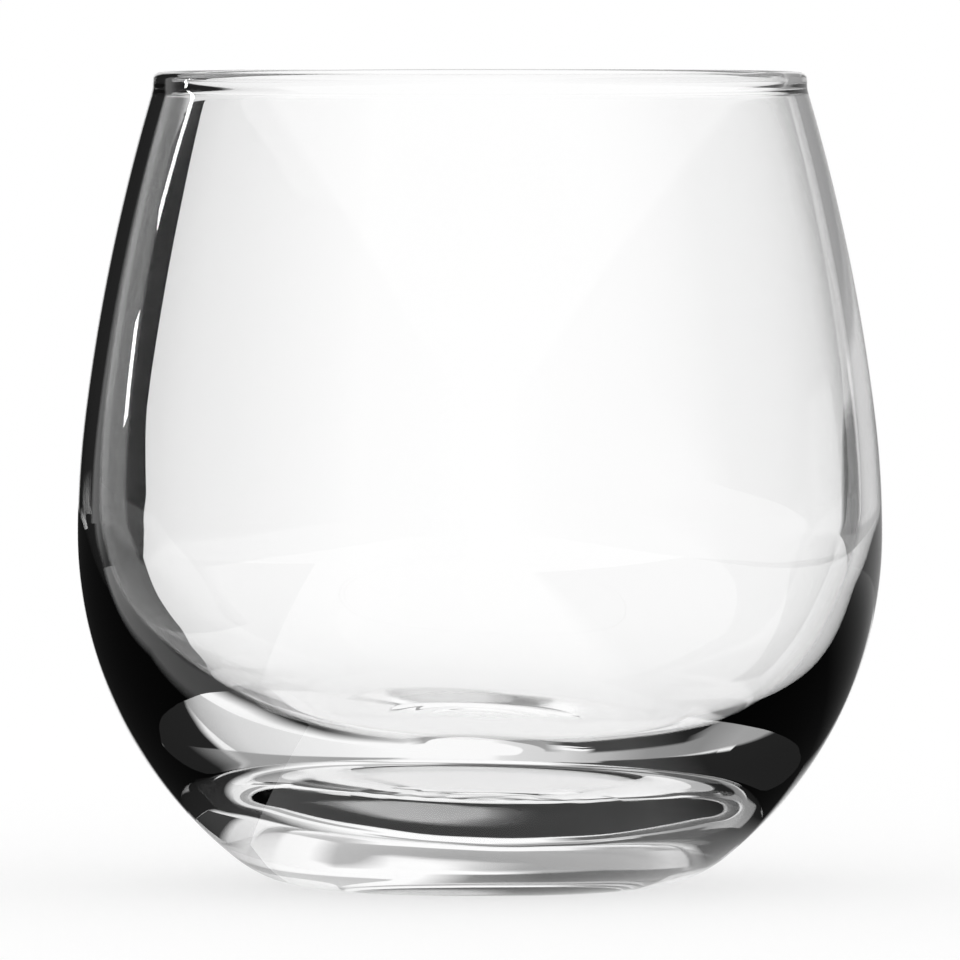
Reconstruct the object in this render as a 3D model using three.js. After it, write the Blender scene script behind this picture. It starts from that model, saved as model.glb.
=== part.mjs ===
// Balloon tumbler: a stemless drinking glass with a full round bowl that draws in to a rounded lip and
// stands on a thick sole. It is one piece of clear glass turned about the Z axis. Lengths are in
// millimetres, angles are in degrees, and the table is at z = 0.
import * as THREE from "three";

// Outside of the bowl, from the table up
const HEIGHT = 95; // table to the top of the lip
const BELLY_RADIUS = 47; // widest point of the bowl
const HEEL_RADIUS = 15; // tight curve that brings the bowl in to the foot
const BOWL_ARC_RADIUS = 48; // round underside of the bowl, between the heel and the widest point
const BOWL_SWEEP = 52; // how far that curve turns
const SHOULDER_ARC_RADIUS = 114; // easy curve just above the widest point
const SHOULDER_SWEEP = 7; // how far it turns before the wall takes over
const WALL_ARC_RADIUS = 232; // slow curve of the wall up to the lip

// Inside of the bowl
const WALL = 2.4; // glass beside the widest point of the inside
const SOLE = 13.7; // glass under the middle of the inside
const FLOOR_ARC_RADIUS = 200; // shallow dish of the floor
const KNEE_RADIUS = 22; // curve that lifts the floor into the side
const SIDE_ARC_RADIUS = 33; // curve of the side up to the widest point of the inside
const SIDE_SWEEP = 40; // how far the side turns

// Lip and foot
const LIP_THICKNESS = 2.3; // fire-polished bead round the mouth, a little thicker than the wall under it
const BEARING_WIDTH = 6.5; // flat ring that the glass stands on
const PUNT_DEPTH = 1.2; // shallow hollow under the sole, inside the bearing ring

// Facets
const TURN_STEPS = 72; // round the axis
const CHORD_ERROR = 0.05; // most that a facet may stray from a curve of the profile
const LIP_CHORD_ERROR = 0.02; // the same on the small curve of the lip
const SAME_POINT = 0.001; // profile points closer than this are one point

const sine = (degrees) => Math.sin(THREE.MathUtils.degToRad(degrees));
const cosine = (degrees) => Math.cos(THREE.MathUtils.degToRad(degrees));
const arcsine = (ratio) => THREE.MathUtils.radToDeg(Math.asin(ratio));
const arccosine = (ratio) => THREE.MathUtils.radToDeg(Math.acos(ratio));

// An arc is written by its centre (r, z), its radius and the angles of its normal at both ends, where 0
// points away from the axis and 90 points up.
function arcPoints({ centre, radius, from, to }, chordError = CHORD_ERROR) {
  const step = 2 * arccosine(1 - chordError / radius);
  const steps = Math.max(1, Math.ceil(Math.abs(to - from) / step));
  const start = THREE.MathUtils.degToRad(from);
  const end = THREE.MathUtils.degToRad(to);
  return new THREE.ArcCurve(centre.x, centre.y, radius, start, end, to < from).getPoints(steps);
}

// The arc that runs on from the end of another one without a corner.
function tangentArc(arc, radius, to) {
  const shift = arc.radius - radius;
  const centre = new THREE.Vector2(
    arc.centre.x + shift * cosine(arc.to),
    arc.centre.y + shift * sine(arc.to),
  );
  return { centre, radius, from: arc.to, to };
}

// One face of the wall, from its widest point upwards: a shoulder arc, then the long wall arc, whose end
// is set by the lip. The inside face rises from its own, higher widest point on the outside's radii less
// the wall, so the wall thins towards the lip.
function wallFace(radius, height, inset) {
  const shoulderRadius = SHOULDER_ARC_RADIUS - inset;
  const centre = new THREE.Vector2(radius - shoulderRadius, height);
  const shoulder = { centre, radius: shoulderRadius, from: 0, to: SHOULDER_SWEEP };
  return { shoulder, wall: tangentArc(shoulder, WALL_ARC_RADIUS - inset, SHOULDER_SWEEP) };
}

// The angle of a wall arc's normal at a height, and its distance from the axis there.
const leanAt = ({ centre, radius }, height) => arcsine((height - centre.y) / radius);
const reachAt = (arc, height) => arc.centre.x + arc.radius * cosine(leanAt(arc, height));

// Outside: the heel stands on the table, and the bowl's curve carries on from it to the widest point.
const footRadius = BELLY_RADIUS - BOWL_ARC_RADIUS + (BOWL_ARC_RADIUS - HEEL_RADIUS) * cosine(BOWL_SWEEP);
const heel = {
  centre: new THREE.Vector2(footRadius, HEEL_RADIUS),
  radius: HEEL_RADIUS,
  from: -90,
  to: -BOWL_SWEEP,
};
const bowl = tangentArc(heel, BOWL_ARC_RADIUS, 0);
const outside = wallFace(BELLY_RADIUS, bowl.centre.y, 0);

// Inside: the floor turns just far enough for the knee and the side to end a wall's thickness inside the
// belly.
const innerRadius = BELLY_RADIUS - WALL;
const sideReach = SIDE_ARC_RADIUS * (1 - cosine(SIDE_SWEEP)) + KNEE_RADIUS * cosine(SIDE_SWEEP);
const floorSweep = arcsine((innerRadius - sideReach) / (FLOOR_ARC_RADIUS - KNEE_RADIUS));
const floor = {
  centre: new THREE.Vector2(0, SOLE + FLOOR_ARC_RADIUS),
  radius: FLOOR_ARC_RADIUS,
  from: -90,
  to: floorSweep - 90,
};
const knee = tangentArc(floor, KNEE_RADIUS, -SIDE_SWEEP);
const side = tangentArc(knee, SIDE_ARC_RADIUS, 0);
const inside = wallFace(innerRadius, side.centre.y, WALL);

// Lip: a round bead on the middle of the leaning wall. Its arc starts and ends where its circle meets the
// wall's two faces.
function lipBead() {
  const radius = LIP_THICKNESS / 2;
  const height = HEIGHT - radius;
  const outer = reachAt(outside.wall, height);
  const inner = reachAt(inside.wall, height);
  const lean = leanAt(outside.wall, height);
  const halfWall = ((outer - inner) / 2) * cosine(lean);
  const neck = arccosine(Math.min(1, halfWall / radius));
  return {
    centre: new THREE.Vector2((outer + inner) / 2, height),
    radius,
    from: lean - neck,
    to: 180 + lean + neck,
  };
}
const lip = lipBead();
const lipFoot = (angle) => lip.centre.y + lip.radius * sine(angle);
outside.wall.to = leanAt(outside.wall, lipFoot(lip.from));
inside.wall.to = leanAt(inside.wall, lipFoot(lip.to));

// Underside: a shallow hollow in the form of a dome, from the axis out to the bearing ring.
function puntDome() {
  const rim = footRadius - BEARING_WIDTH;
  const radius = (rim * rim + PUNT_DEPTH * PUNT_DEPTH) / (2 * PUNT_DEPTH);
  const centre = new THREE.Vector2(0, PUNT_DEPTH - radius);
  return { centre, radius, from: 90, to: arccosine(rim / radius) };
}

// The closed profile: out under the foot, up the outside, over the lip and down the inside to the axis.
function glassProfile() {
  const innerFace = [floor, knee, side, inside.shoulder, inside.wall];
  const points = [
    ...arcPoints(puntDome()),
    ...[heel, bowl, outside.shoulder, outside.wall].flatMap((arc) => arcPoints(arc)),
    ...arcPoints(lip, LIP_CHORD_ERROR),
    ...innerFace.flatMap((arc) => arcPoints(arc)).reverse(),
  ];
  points[0].x = 0;
  points[points.length - 1].x = 0;
  return points.filter((point, i) => i === 0 || point.distanceTo(points[i - 1]) > SAME_POINT);
}

// Clear, colourless glass with a polished face.
function clearGlass() {
  return new THREE.MeshStandardMaterial({
    color: 0xf3f6f5,
    roughness: 0.02,
    metalness: 0,
    transparent: true,
    opacity: 0.3,
  });
}

const glassGeometry = new THREE.LatheGeometry(glassProfile(), TURN_STEPS);
glassGeometry.rotateX(Math.PI / 2);
const glassBody = new THREE.Mesh(glassGeometry, clearGlass());
glassBody.name = "glass_body";

const tumbler = new THREE.Group();
tumbler.add(glassBody);

export default tumbler;
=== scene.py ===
"""Balloon tumbler of clear glass on a pale table, with glowing cards at its sides that draw its edges:
the cards, which only the glass shows, paint its reflections and refractions.
"""

import math
from typing import NamedTuple

import bpy
from mathutils import Matrix, Vector


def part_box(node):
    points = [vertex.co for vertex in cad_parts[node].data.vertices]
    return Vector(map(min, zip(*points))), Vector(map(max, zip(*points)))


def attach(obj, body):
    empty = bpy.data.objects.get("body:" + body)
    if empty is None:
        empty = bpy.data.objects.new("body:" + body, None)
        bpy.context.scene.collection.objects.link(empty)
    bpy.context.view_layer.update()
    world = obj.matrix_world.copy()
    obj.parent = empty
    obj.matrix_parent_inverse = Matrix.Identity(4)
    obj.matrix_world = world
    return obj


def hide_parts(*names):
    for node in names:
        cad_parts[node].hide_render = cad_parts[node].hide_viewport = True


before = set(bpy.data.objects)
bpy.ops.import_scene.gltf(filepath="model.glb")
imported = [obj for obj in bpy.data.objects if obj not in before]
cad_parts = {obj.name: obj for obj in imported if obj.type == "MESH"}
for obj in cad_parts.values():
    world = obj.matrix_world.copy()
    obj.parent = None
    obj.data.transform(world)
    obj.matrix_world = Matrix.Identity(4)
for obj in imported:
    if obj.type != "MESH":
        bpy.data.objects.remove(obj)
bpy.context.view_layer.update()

MM = 0.001
WHITE = (1, 1, 1, 1)

# Section of the glass, in millimetres and degrees. The height and the width come from the frame.
HIGHEST_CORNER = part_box("glass_body")[1]
HEIGHT = HIGHEST_CORNER.z / MM
BELLY_RADIUS = HIGHEST_CORNER.x / MM
HEEL_RADIUS = 15  # tight curve that brings the bowl in to the foot
BOWL_ARC_RADIUS = 48  # round underside of the bowl, between the heel and the widest point
BOWL_SWEEP = 52  # how far that curve turns
SHOULDER_ARC_RADIUS = 114  # easy curve just above the widest point
SHOULDER_SWEEP = 7  # how far it turns before the wall takes over
WALL_ARC_RADIUS = 232  # slow curve of the wall up to the lip
WALL = 2.4  # glass beside the widest point of the inside
SOLE = 13.7  # glass under the middle of the inside
FLOOR_ARC_RADIUS = 200  # shallow dish of the floor
KNEE_RADIUS = 22  # curve that lifts the floor into the side
SIDE_ARC_RADIUS = 33  # curve of the side up to the widest point of the inside
SIDE_SWEEP = 40  # how far the side turns
LIP_THICKNESS = 2.3  # fire-polished bead round the mouth
BEARING_WIDTH = 6.5  # flat ring that the glass stands on
PUNT_DEPTH = 1.2  # shallow hollow under the sole, inside the bearing ring

# Softness of the rim
NECK_LENGTH = 5  # depth of the rim, whose creases are eased
BEAD_TOP = 0.8  # depth from the top of the lip down to which the bead keeps its form
EASE_ROUNDS = 28  # how often each point of the rim moves towards its neighbours

# Unevenness of glass that was shaped hot
FLOOR_TILT = 0.025  # rise of the inside floor for each millimetre to the left
TILT_FULL = 20  # height up to which the inside is tilted in full
TILT_END = 36  # height above which it is true again
SWIRL_FULL = 7.5  # radius up to which the ripples under the sole have their full height
SWIRL_REACH = 12.5  # radius at which they end
SWIRL_PITCH = 2.8  # distance from one ripple to the next
SWIRL_DEPTH = 0.03  # half the height of a ripple

# Fineness of the mesh
TURN_STEPS = 240  # round the axis
POINT_STEP = 0.8  # along the section
FINE_STEP = 0.16  # along the rim
SWIRL_STEP = 0.25  # along the hollow with the ripples
SAME_POINT = 0.01  # points closer than this are one point

# Finish of the glass, in metres
GLASS_IOR = 1.52
GRAIN_SCALE = 160.0  # fineness of the scratches on the ground ring
GRAIN_DETAIL = 3.0
GRAIN_SPAN = (0.35, 0.65)  # the values of the grain that make no scratch and the deepest one
GRAIN_WEAR = 0.12  # roughness of the deepest scratch
WORN_PLACE = (14.5 * MM, -7.4 * MM, 0)  # middle of the patch of the ring that is worn most
WORN_SPAN = (4 * MM, 9 * MM)  # distances from there between which that wear fades out
WORN_WEAR = 0.7  # roughness of that patch
GROUND_SPAN = (0.1 * MM, 0.4 * MM)  # heights between which the ground ring ends
WAVE_SCALE = 70.0  # fineness of the wave in the thick base
WAVE_DETAIL = 1.0
WAVE_HEIGHT = 0.03 * MM
WAVE_SPAN = (16 * MM, 26 * MM)  # heights between which the wave fades out

# Camera, in the view's own frame: x to the right, y away from the lens
VIEW_AZIMUTH = 225
CAMERA_DISTANCE = 1500
CAMERA_HEIGHT = 107
AIM_HEIGHT = 47.3
LENS = 482
SIGHT = 100  # metres, past the far corners of the table

# Table and cards, in the view's own frame
TABLE_REACH = 40000  # half the width of the table
TABLE_DROP = 0.05  # gap between the glass and the table
TABLE_PAINT = 0.35  # share of the table's white that shadows can darken
DARK = 0.018  # glow of a dark card, which paints dark reflections and refractions in the glass
CARD_LIFT = 0.3  # least height of a standing card over the table
MAT_LIFTS = {"wall": 0.3, "sole": 0.6, "gloss": 0.9}  # heights of the cards that lie on it
GLOSS_HEIGHT = 250  # height of the standing cards that paint the reflections on the outside of the glass
BACK = 75  # distance of the cards low behind the glass

# The solid sole bends a ray at two faces and the two walls bend it at four. A card's painted refraction is
# shown by one of them only.
FACES_BETWEEN = 2.5
CROSSINGS = {"wall": "GREATER_THAN", "sole": "LESS_THAN"}

# Strip lights
STRIP_WIDTH = 14
STRIP_RADIANCE = 8
WATTS = 4  # of a lamp of one square metre, for each unit of its radiance

view_frame = Matrix.Rotation(math.radians(VIEW_AZIMUTH), 4, "Z")


def sine(angle):
    return math.sin(math.radians(angle))


def cosine(angle):
    return math.cos(math.radians(angle))


def arcsine(ratio):
    return math.degrees(math.asin(ratio))


def arccosine(ratio):
    return math.degrees(math.acos(ratio))


class Arc(NamedTuple):
    """Part of a circle in the section. Angles are those of its normal: 0 points outward, 90 up."""
    r: float
    z: float
    radius: float
    start: float
    end: float

    def at(self, angle):
        return self.r + self.radius * cosine(angle), self.z + self.radius * sine(angle)

    def angle_at(self, height):
        return arcsine((height - self.z) / self.radius)

    def reach_at(self, height):
        return self.at(self.angle_at(height))[0]

    def points(self, step=POINT_STEP):
        length = math.radians(abs(self.end - self.start)) * self.radius
        count = max(2, math.ceil(length / step))
        return [self.at(self.start + (self.end - self.start) * i / count) for i in range(count + 1)]

    def tangent(self, radius, end):
        """The arc that runs on from the end of this one without a corner."""
        shift = self.radius - radius
        return Arc(self.r + shift * cosine(self.end), self.z + shift * sine(self.end), radius, self.end, end)


def wall_face(radius, height, inset):
    """One face of the wall, from its widest point upwards. The lip sets where it ends."""
    shoulder_radius = SHOULDER_ARC_RADIUS - inset
    shoulder = Arc(radius - shoulder_radius, height, shoulder_radius, 0, SHOULDER_SWEEP)
    return shoulder, shoulder.tangent(WALL_ARC_RADIUS - inset, SHOULDER_SWEEP)


def lip_bead(outer_wall, inner_wall):
    """A round bead on the middle of the leaning wall, from the wall's outer face to its inner one."""
    radius = LIP_THICKNESS / 2
    height = HEIGHT - radius
    outer, inner = outer_wall.reach_at(height), inner_wall.reach_at(height)
    lean = outer_wall.angle_at(height)
    neck = arccosine(min(1, (outer - inner) / 2 * cosine(lean) / radius))
    return Arc((outer + inner) / 2, height, radius, lean - neck, 180 + lean + neck)


def punt_dome(rim):
    """The shallow hollow under the sole, from the axis out to its rim."""
    radius = (rim ** 2 + PUNT_DEPTH ** 2) / (2 * PUNT_DEPTH)
    return Arc(0, PUNT_DEPTH - radius, radius, 90, arccosine(rim / radius))


def eased(rim):
    """The points of the rim, with the creases under its bead eased to soft hollows."""
    for _ in range(EASE_ROUNDS):
        between = []
        for (r0, z0), (r, z), (r1, z1) in zip(rim, rim[1:], rim[2:]):
            under_bead = HEIGHT - z > BEAD_TOP
            between.append(((r0 + 2 * r + r1) / 4, (z0 + 2 * z + z1) / 4) if under_bead else (r, z))
        rim = [rim[0], *between, rim[-1]]
    return rim


def joined(*arcs):
    return [point for arc in arcs for point in arc.points()]


def section():
    """The closed section of the glass as three runs of points: underside, outside with the rim, inside."""
    foot_radius = BELLY_RADIUS - BOWL_ARC_RADIUS + (BOWL_ARC_RADIUS - HEEL_RADIUS) * cosine(BOWL_SWEEP)
    heel = Arc(foot_radius, HEEL_RADIUS, HEEL_RADIUS, -90, -BOWL_SWEEP)
    bowl = heel.tangent(BOWL_ARC_RADIUS, 0)
    outer_shoulder, outer_wall = wall_face(BELLY_RADIUS, bowl.z, 0)

    inner_radius = BELLY_RADIUS - WALL
    side_reach = SIDE_ARC_RADIUS * (1 - cosine(SIDE_SWEEP)) + KNEE_RADIUS * cosine(SIDE_SWEEP)
    floor_sweep = arcsine((inner_radius - side_reach) / (FLOOR_ARC_RADIUS - KNEE_RADIUS))
    floor = Arc(0, SOLE + FLOOR_ARC_RADIUS, FLOOR_ARC_RADIUS, -90, floor_sweep - 90)
    knee = floor.tangent(KNEE_RADIUS, -SIDE_SWEEP)
    side = knee.tangent(SIDE_ARC_RADIUS, 0)
    inner_shoulder, inner_wall = wall_face(inner_radius, side.z, WALL)

    lip = lip_bead(outer_wall, inner_wall)
    outer_wall = outer_wall._replace(end=outer_wall.angle_at(lip.at(lip.start)[1]))
    inner_wall = inner_wall._replace(end=inner_wall.angle_at(lip.at(lip.end)[1]))
    outer_neck, inner_neck = (wall.angle_at(HEIGHT - NECK_LENGTH) for wall in (outer_wall, inner_wall))

    under = punt_dome(foot_radius - BEARING_WIDTH).points(SWIRL_STEP)
    outside = joined(heel, bowl, outer_shoulder, outer_wall._replace(end=outer_neck))
    rim = outer_wall._replace(start=outer_neck).points(FINE_STEP) + lip.points(FINE_STEP)
    rim += inner_wall._replace(start=inner_neck).points(FINE_STEP)[::-1]
    inside = joined(floor, knee, side, inner_shoulder, inner_wall._replace(end=inner_neck))
    return under, outside + eased(rim), inside[::-1]


def smooth_step(low, high, value):
    part = min(1, max(0, (value - low) / (high - low)))
    return part * part * (3 - 2 * part)


def swirl_rise(point):
    """Ripples that wind out from the middle of the underside."""
    reach = math.hypot(point.x, point.y)
    fade = 1 - smooth_step(SWIRL_FULL, SWIRL_REACH, reach)
    return SWIRL_DEPTH * fade * math.cos(math.tau * reach / SWIRL_PITCH - math.atan2(point.y, point.x))


def no_rise(point):
    """The outside is true."""
    return 0


def tilt_rise(point):
    """The inside floor is a little higher on one side."""
    left = -(view_frame.inverted() @ point).x
    return FLOOR_TILT * left * (1 - smooth_step(TILT_FULL, TILT_END, point.z))


def lathe(name, runs, rises, steps):
    """A closed mesh turned from a section whose ends are on the axis. Each run is uneven in its own way."""
    rings = []
    for run, rise in zip(runs, rises):
        for point in run:
            if not rings or math.dist(point, rings[-1][0]) > SAME_POINT:
                rings.append((point, rise))
    verts = []
    for (r, z), rise in rings:
        for j in range(steps if r > SAME_POINT else 1):
            turn = math.tau * j / steps
            point = Vector((r * math.cos(turn), r * math.sin(turn), z))
            point.z += rise(point)
            verts.append(point * MM)
    last = len(verts) - 1
    faces = []
    for j in range(steps):
        k = (j + 1) % steps
        faces.append((0, 1 + k, 1 + j))
        for low in range(1, last - steps, steps):
            high = low + steps
            faces.append((low + j, low + k, high + k, high + j))
        faces.append((last - steps + j, last - steps + k, last))
    mesh = bpy.data.meshes.new(name)
    mesh.from_pydata(verts, [], faces)
    mesh.polygons.foreach_set("use_smooth", [True] * len(mesh.polygons))
    mesh.update()
    obj = bpy.data.objects.new(name, mesh)
    bpy.context.collection.objects.link(obj)
    return obj


class Nodes:
    """Makes nodes in a tree and joins them."""

    def __init__(self, tree):
        self.tree = tree
        tree.nodes.clear()

    def add(self, kind, inputs=None, **settings):
        node = self.tree.nodes.new(kind)
        for key, value in settings.items():
            setattr(node, key, value)
        for key, value in (inputs or {}).items():
            if isinstance(value, bpy.types.NodeSocket):
                self.tree.links.new(value, node.inputs[key])
            else:
                node.inputs[key].default_value = value
        return node

    def math(self, operation, a, b):
        return self.add("ShaderNodeMath", {0: a, 1: b}, operation=operation).outputs[0]

    def scale(self, value, source, target):
        (a, b), (c, d) = source, target
        inputs = {"Value": value, "From Min": a, "From Max": b, "To Min": c, "To Max": d}
        return self.add("ShaderNodeMapRange", inputs).outputs[0]

    def noise(self, place, scale, detail):
        return self.add("ShaderNodeTexNoise", {"Vector": place, "Scale": scale, "Detail": detail}).outputs[0]


def new_material(name):
    material = bpy.data.materials.new(name)
    material.use_nodes = True
    return material, Nodes(material.node_tree)


def clear_glass():
    """Polished clear glass with a faint wave in its thick base and a ground ring where it stands."""
    material, n = new_material("clear_glass")
    place = n.add("ShaderNodeTexCoord").outputs["Object"]
    height = n.add("ShaderNodeSeparateXYZ", {0: place}).outputs["Z"]
    scratches = n.scale(n.noise(place, GRAIN_SCALE, GRAIN_DETAIL), GRAIN_SPAN, (0, GRAIN_WEAR))
    reach = n.add("ShaderNodeVectorMath", {0: place, 1: WORN_PLACE}, operation="DISTANCE").outputs["Value"]
    worn = n.math("ADD", scratches, n.scale(reach, WORN_SPAN, (WORN_WEAR, 0)))
    ground = n.scale(height, GROUND_SPAN, (1, 0))
    wave = n.noise(place, WAVE_SCALE, WAVE_DETAIL)
    base = n.scale(height, WAVE_SPAN, (1, 0))
    bump = n.add("ShaderNodeBump", {"Strength": base, "Distance": WAVE_HEIGHT, "Height": wave})
    glass = n.add("ShaderNodeBsdfPrincipled", {
        "Base Color": WHITE,
        "Roughness": n.math("MULTIPLY", ground, worn),
        "IOR": GLASS_IOR,
        "Transmission Weight": 1.0,
        "Normal": bump.outputs[0],
    })
    n.add("ShaderNodeOutputMaterial", {"Surface": glass.outputs[0]})
    return material


def seen_white(n):
    """1 for the rays that show the background: the camera's own, reflected and refracted ones."""
    path = n.add("ShaderNodeLightPath").outputs
    seen = n.math("MAXIMUM", path["Is Camera Ray"], path["Is Glossy Ray"])
    return n.math("MAXIMUM", seen, path["Is Transmission Ray"])


def table_white():
    """White that keeps a faint shadow: part of it is paint, and the rest is white wherever it is seen."""
    material, n = new_material("table_white")
    paint = n.add("ShaderNodeBsdfDiffuse", {"Color": (TABLE_PAINT, TABLE_PAINT, TABLE_PAINT, 1)})
    strength = n.math("MULTIPLY", seen_white(n), 1 - TABLE_PAINT)
    lift = n.add("ShaderNodeEmission", {"Color": WHITE, "Strength": strength})
    both = n.add("ShaderNodeAddShader", {0: paint.outputs[0], 1: lift.outputs[0]})
    n.add("ShaderNodeOutputMaterial", {"Surface": both.outputs[0]})
    return material


def painted_sheet_material(kind):
    """Glowing sheet of a card that paints what the glass reflects (gloss) or refracts (wall, sole): its
    points give the shade and the cover, and glass shows it in one way only.
    """
    material, n = new_material("card_" + kind)
    shade = n.add("ShaderNodeAttribute", attribute_name="shade").outputs["Fac"]
    cover = n.add("ShaderNodeAttribute", attribute_name="cover").outputs["Fac"]
    if kind in CROSSINGS:
        depth = n.add("ShaderNodeLightPath").outputs["Transmission Depth"]
        cover = n.math("MULTIPLY", cover, n.math(CROSSINGS[kind], depth, FACES_BETWEEN))
    glow = n.add("ShaderNodeEmission", {"Strength": shade})
    clear = n.add("ShaderNodeBsdfTransparent")
    both = n.add("ShaderNodeMixShader", {0: cover, 1: clear.outputs[0], 2: glow.outputs[0]})
    n.add("ShaderNodeOutputMaterial", {"Surface": both.outputs[0]})
    return material


def stage_mesh(name, corners, faces, material):
    """A stage object from corners in millimetres in the view's own frame."""
    mesh = bpy.data.meshes.new(name)
    mesh.from_pydata([Vector(c) * MM for c in corners], [], faces)
    obj = bpy.data.objects.new(name, mesh)
    obj.matrix_world = view_frame
    mesh.materials.append(material)
    bpy.context.collection.objects.link(obj)
    return obj


def card(name, kind, rows):
    """A glowing card that only glass shows, painting its reflections and refractions, from rows of points (x,
    y, z, shade, cover).
    """
    count = len(rows[0])
    points = [p for row in rows for p in row]
    faces = [
        (low + i, low + i + 1, low + count + i + 1, low + count + i)
        for low in range(0, count * (len(rows) - 1), count) for i in range(count - 1)
    ]
    obj = stage_mesh(name, [p[:3] for p in points], faces, PAINTED_SHEETS[kind])
    for k, key in ((3, "shade"), (4, "cover")):
        obj.data.attributes.new(key, "FLOAT", "POINT").data.foreach_set("value", [p[k] for p in points])
    obj.visible_camera = False
    obj.visible_diffuse = False
    obj.visible_shadow = False
    obj.visible_volume_scatter = False
    obj.visible_glossy = kind == "gloss"
    obj.visible_transmission = kind != "gloss"


def flag(name, kind, columns, soft=4):
    """A standing painted card from columns (x, y, low, high, shade, cover), soft at its lower and upper edge.
    """
    foot, low_edge, high_edge, top = [], [], [], []
    for x, y, low, high, shade, cover in columns:
        foot.append((x, y, max(CARD_LIFT, low - soft), shade, cover if low == 0 else 0))
        low_edge.append((x, y, max(2 * CARD_LIFT, low), shade, cover))
        high_edge.append((x, y, high, shade, cover))
        top.append((x, y, high + soft, shade, 0))
    card(name, kind, [foot, low_edge, high_edge, top])


def mat(name, kind, rows):
    """A painted card that lies on the table, from rows of points (x, y, shade, cover)."""
    card(name, kind, [[(x, y, MAT_LIFTS[kind], shade, cover) for x, y, shade, cover in row] for row in rows])


def strip_light(name, low, high):
    """A narrow lamp from one point of the view's own frame to another, turned to the axis of the glass."""
    base, top = Vector(low) * MM, Vector(high) * MM
    data = bpy.data.lights.new(name, "AREA")
    data.shape = "RECTANGLE"
    data.size, data.size_y = STRIP_WIDTH * MM, (top - base).length
    data.energy = STRIP_RADIANCE * WATTS * data.size * data.size_y
    light = bpy.data.objects.new(name, data)
    bpy.context.collection.objects.link(light)
    middle = (base + top) / 2
    face = Vector((0, 0, middle.z)) - middle
    axes = (face.cross(top - base).normalized(), (top - base).normalized(), -face.normalized())
    light.matrix_world = view_frame @ Matrix.Translation(middle) @ Matrix(axes).transposed().to_4x4()
    light.visible_transmission = False


# Glass
glass = lathe("tumbler", section(), (swirl_rise, no_rise, tilt_rise), TURN_STEPS)
glass.data.materials.append(clear_glass())
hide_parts("glass_body")
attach(glass, "root")

# Table
table_corners = [
    (x * TABLE_REACH, y * TABLE_REACH, -TABLE_DROP) for x, y in ((-1, -1), (1, -1), (1, 1), (-1, 1))
]
stage_mesh("table", table_corners, [(0, 1, 2, 3)], table_white())

# Glowing materials that paint the reflections and refractions which the glass shows
PAINTED_SHEETS = {kind: painted_sheet_material(kind) for kind in ("wall", "sole", "gloss")}

# Painted refractions that both walls show: a dark card on the table, whose edge bounds the dark band in the
# left wall, one that draws the lines in the right wall, and one far away that carries on the band
BAND_EDGE = [
    (-36, -80), (-38, 12), (-43, 30), (-49, 67), (-62, 144),
    (-72, 247), (-133, 764), (-214, 1482), (-457, 4027), (-3600, 36000),
]
mat("wall_left", "wall", [
    [(x - shift - spread * y, y, DARK, 1 if y > 0 else 0) for x, y in BAND_EDGE]
    for shift, spread in ((0, 0), (60, 0.1), (400, 1.2))
])
flag("wall_right", "wall", [
    (84, 208, 0, 36, DARK, 0), (84, 184, 0, 40, DARK, 1), (84, 24, 0, 60, DARK, 1), (84, -80, 0, 60, DARK, 0),
], soft=8)
flag("wall_far", "wall", [
    (x, y, 0, 400, DARK, cover)
    for x, y, cover in ((-290, 2000, 0), (-350, 2000, 1), (-1500, 1500, 1), (-1700, 1200, 0))
], soft=2)

# Painted refractions that the sole and the outermost edge of the wall show: dark cards at the left, with
# glowing pale patches in front of them
flag("left_near", "sole", [(-58, y, 0, 130, DARK, cover) for y, cover in ((-34, 0), (-28, 1), (30, 1))])
flag("left_edge", "sole", [
    (x, y, 36, 130, DARK, cover) for x, y, cover in ((-82, 86, 1), (-46, 74, 1), (-43, 74, 0))
])
flag("left_dark", "sole", [
    (-50, -360, 0, 130, DARK, 0), (-96, -240, 0, 130, DARK, 0.3), (-124, -80, 0, 130, DARK, 0.75),
    (-124, 0, 0, 130, DARK, 1), (-124, 97, 0, 150, DARK, 1), (-124, 103, 46, 190, DARK, 1),
    (-130, 178, 50, 260, DARK, 1), (-130, 300, 62, 300, DARK, 1), (-130, 400, 75, 340, DARK, 1),
    (-110, 520, 100, 400, DARK, 0),
])
flag("left_glow", "sole", [
    (-122, 62, 0, 36, 0.4, 0), (-122, 68, 0, 36, 0.4, 1), (-122, 107, 0, 36, 0.4, 1),
    (-122, 127, 0, 40, 0.28, 1), (-128, 185, 11, 50, 0.27, 1), (-128, 248, 0, 56, 0.45, 1),
    (-128, 365, 0, 70, 0.67, 1), (-128, 720, 0, 110, 0.72, 1), (-110, 1000, 0, 130, 0.8, 1),
    (-60, 1100, 0, 130, 1, 0),
])
flag("left_spot", "sole", [
    (-122, y, low, high, 0.8, cover)
    for y, low, high, cover in ((12, 34, 54, 0), (20, 34, 54, 1), (36, 36, 52, 1), (42, 36, 52, 0))
])

# The same at the right
flag("right_dark", "sole", [
    (x, y, 0, 120, DARK, cover) for x, y, cover in (
        (50, -360, 0), (96, -240, 0.3), (124, -80, 0.75), (124, 0, 1), (124, 96, 1), (124, 103, 0))
])
flag("right_glow", "sole", [
    (122, -24, 24, 36, 0.25, 0), (122, -12, 24, 36, 0.27, 1), (122, 8, 28, 42, 0.27, 1),
    (122, 16, 26, 62, 0.5, 1), (122, 48, 22, 64, 0.5, 1), (122, 54, 0, 14, 0.4, 1),
    (122, 97, 0, 14, 0.35, 1), (122, 106, 0, 40, 0.55, 1), (122, 118, 0, 110, 0.67, 1),
    (122, 131, 0, 200, 0.76, 1), (122, 182, 0, 260, 0.85, 1), (130, 265, 0, 300, 0.9, 1),
    (130, 500, 0, 300, 1, 0),
])
flag("right_edge", "sole", [
    (120, y, 68, 150, shade, cover)
    for y, shade, cover in ((70, 0.5, 0), (110, 0.4, 1), (260, 0.34, 1), (420, 0.4, 1), (600, 0.6, 0))
])
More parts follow.
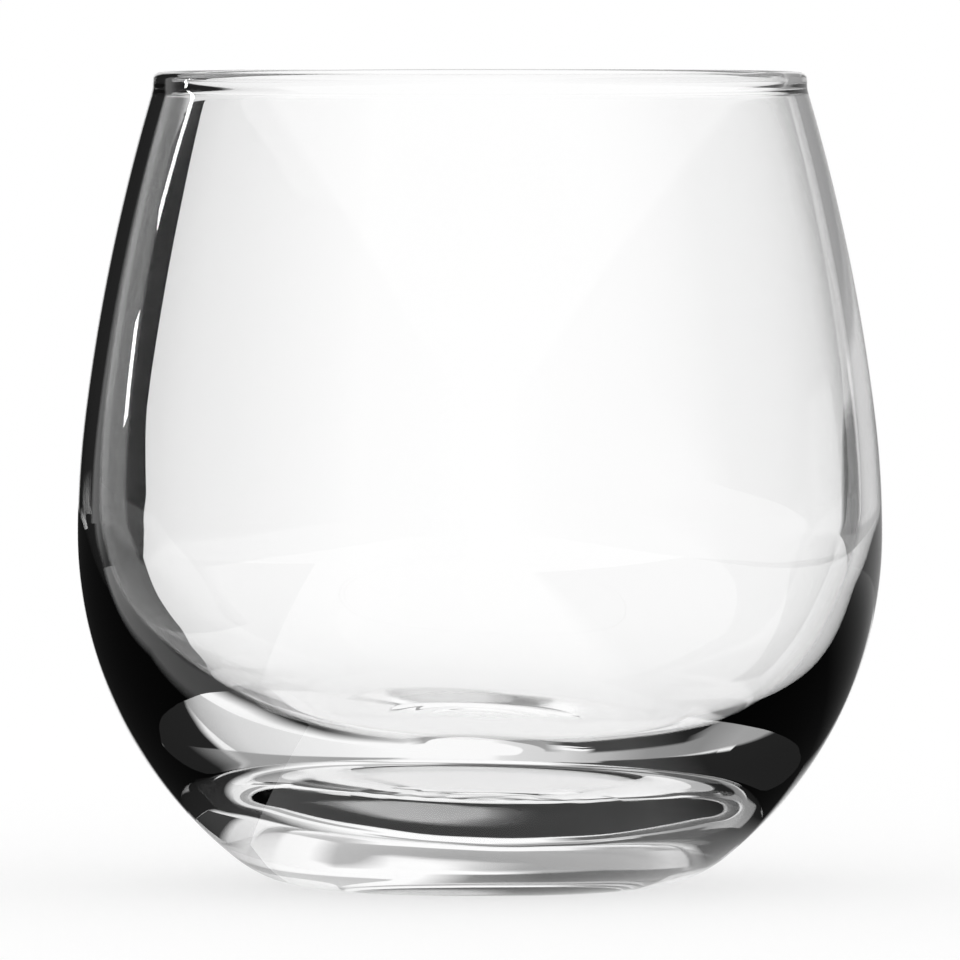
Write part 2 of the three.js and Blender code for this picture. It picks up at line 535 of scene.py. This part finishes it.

# Low cards beside and behind the glass that paint the dark and grey refractions in its foot
flag("low_dark", "sole", [
    (x, BACK, 0, 15, DARK, cover) for x, cover in ((-52, 0), (-46, 1), (-24, 1), (-22, 0))
], soft=2)
flag("foot_dark", "sole", [
    (x, BACK, 0, high, shade, cover) for x, high, shade, cover in (
        (-24, 5.8, DARK, 0), (-20, 6, DARK, 1), (-8, 7, DARK, 1),
        (-4, 6.8, DARK, 1), (-1, 6, 0.15, 1), (1, 5.5, 0.25, 0))
], soft=0.6)
mat("left_floor", "sole", [
    [(x, y, DARK, cover) for x, cover in ((-118, 1), (-40, 1), (-22, 1), (-18, 0))] for y in (28, 70, 150)
])
mat("far_left_floor", "sole", [[(x, y, DARK, 1) for x in (-420, -118, -62)] for y in (-20, 40, 200)])
mat("right_floor", "sole", [
    [(x, y, 0.06, cover) for x, cover in ((20, 0), (24, 1), (46, 1))] for y in (32, 44)
])
flag("right_low", "sole", [
    (x, y, low, 14.5, DARK, cover)
    for x, y, low, cover in ((0, 44, 7, 0), (6, 44, 7, 1), (40, 43, 2, 1), (46, 42, 2, 0))
], soft=1.5)
flag("right_heel", "sole", [
    (48, y, 0, 14, DARK, cover) for y, cover in ((28, 0), (32, 1), (46, 1), (52, 0))
], soft=2)
mat("back_floor", "sole", [
    [(x, y, 0.5, cover) for x, cover in ((-30, 0), (-24, 1), (8, 1), (14, 0))] for y in (40, 120)
])
flag("back_grey", "sole", [
    (x, BACK + 1, low, high, shade, cover) for x, low, high, shade, cover in (
        (-18, 7.2, 16.5, 0.36, 0), (-14, 7.2, 16.5, 0.34, 1), (-9, 7.6, 15.5, 0.3, 1), (-1, 7.6, 13, 0.3, 1),
        (3, 7.8, 12.5, 0.36, 1), (7, 7, 11.5, 0.4, 1), (10, 7, 11, 0.5, 0))
], soft=0.6)

# Cards that paint the reflections on the outside of the glass: dark at the left, where a streak stays open,
# and dark to grey at the right
flag("gloss_left", "gloss", [
    (x, y, 0, GLOSS_HEIGHT, DARK, cover) for x, y, cover in (
        (-101, 384, 0), (-128, 379, 1), (-251, 331, 1), (-269, 320, 0.5), (-295, 300, 0.5), (-328, 271, 0.85),
        (-360, 234, 1), (-430, 80, 1), (-440, 0, 0.8), (-400, -220, 0.35), (-250, -380, 0))
])
STREAK = [(-50, -45, 6), (-83, -16, 8), (-125, 17, 9), (-199, 105, 12), (-384, 320, 25), (-900, 1000, 80)]
INNER_EDGE = [(-20, -10), (-30, 30), (-50, 80), (-70, 160), (-120, 500), (-150, 1100)]
OUTER_EDGE = [(-300, -300), (-500, 0), (-700, 100), (-900, 200), (-1500, 500), (-2500, 1000)]
mat("gloss_inner", "gloss", [
    [(x, y, DARK, 0) for x, y in INNER_EDGE],
    [(x - 10, y, DARK, 1) for x, y in INNER_EDGE],
    [(x + 2 * width, y, DARK, 1) for x, y, width in STREAK],
    [(x + width, y, DARK, 0) for x, y, width in STREAK],
])
mat("gloss_outer", "gloss", [
    [(x - width, y, DARK, 0) for x, y, width in STREAK],
    [(x - 2 * width, y, DARK, 1) for x, y, width in STREAK],
    [(x, y, DARK, 1) for x, y in OUTER_EDGE],
])
flag("gloss_right", "gloss", [
    (x, y, 0, GLOSS_HEIGHT, shade, cover) for x, y, shade, cover in (
        (80, 390, 0.5, 0), (114, 382, 0.4, 1), (245, 334, 0.3, 1),
        (302, 294, 0.2, 1), (340, 250, 0.3, 0.8), (380, 190, 0.5, 0))
])
RIGHT_EDGE = [
    (70, -300, DARK), (40, -80, DARK), (24, -20, DARK), (24, 20, DARK), (40, 40, DARK),
    (60, 160, 0.15), (130, 400, 0.5),
]
mat("gloss_mat", "gloss", [
    [(x + shift, y, shade, cover) for x, y, shade in RIGHT_EDGE]
    for shift, cover in ((0, 0), (15, 1), (400, 1))
])

# A thin light at the left in two lengths, which draws a bright line down the left wall
strip_light("strip_high", (-342, 207, 146), (-352, 192, 196))
strip_light("strip_low", (-346, 200, 82), (-338, 213, 114))

# White studio
world = bpy.data.worlds.new("studio")
world.use_nodes = True
bpy.context.scene.world = world
n = Nodes(world.node_tree)
sky = n.add("ShaderNodeBackground", {"Color": WHITE, "Strength": 1.0})
n.add("ShaderNodeOutputWorld", {"Surface": sky.outputs[0]})

# Camera
camera_data = bpy.data.cameras.new("camera")
camera_data.lens = LENS
camera_data.clip_end = SIGHT
camera = bpy.data.objects.new("camera", camera_data)
bpy.context.collection.objects.link(camera)
bpy.context.scene.camera = camera
camera.location = view_frame @ Vector((0, -CAMERA_DISTANCE, CAMERA_HEIGHT)) * MM
aim = Vector((0, 0, AIM_HEIGHT)) * MM
camera.rotation_euler = (aim - camera.location).to_track_quat("-Z", "Y").to_euler()

bpy.context.scene.view_settings.view_transform = "Standard"
